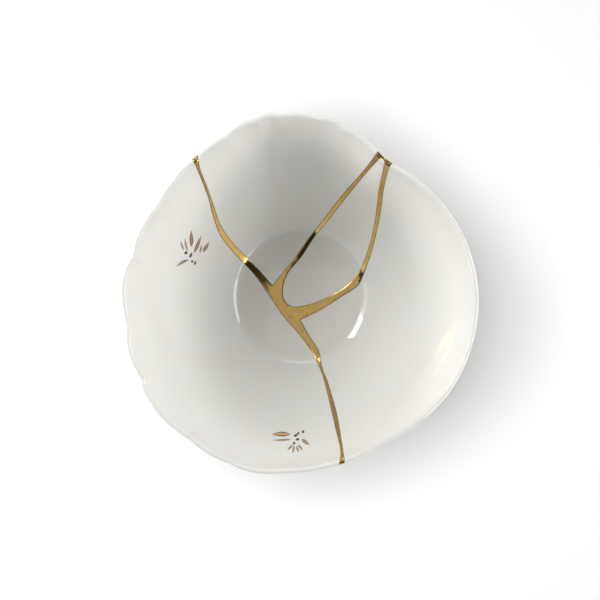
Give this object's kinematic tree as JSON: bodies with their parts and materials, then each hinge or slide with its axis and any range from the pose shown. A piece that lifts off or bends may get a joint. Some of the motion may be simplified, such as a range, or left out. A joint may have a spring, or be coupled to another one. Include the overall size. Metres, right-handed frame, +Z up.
{
  "type": "kintsugi bowl",
  "caption": "Deep porcelain bowl with a wavy scalloped rim on one side and a smooth rim on the other, its broken shards rejoined by raised gold-finished seams.",
  "frame": {"origin": "on the foot ring's tread, under the axis of the foot, which is within 0.6 mm of the middle of the rim's outline", "axes": "+Z up through the open mouth; +X towards the smooth-rimmed side; -Y is the front, where the single crack reaches the rim; +Y is the back, where the two branches meet the rim"},
  "size_m": [0.1507, 0.1522, 0.0762],
  "materials": {
    "porcelain": "warm white glossy glaze",
    "gold_lacquer": "polished gold over lacquer, softly rounded"
  },
  "bodies": {
    "root": {"left_shard": "porcelain", "back_shard": "porcelain", "leaf_shard": "porcelain", "right_shard": "porcelain", "gold_seam": "gold_lacquer"}
  },
  "joints": []
}
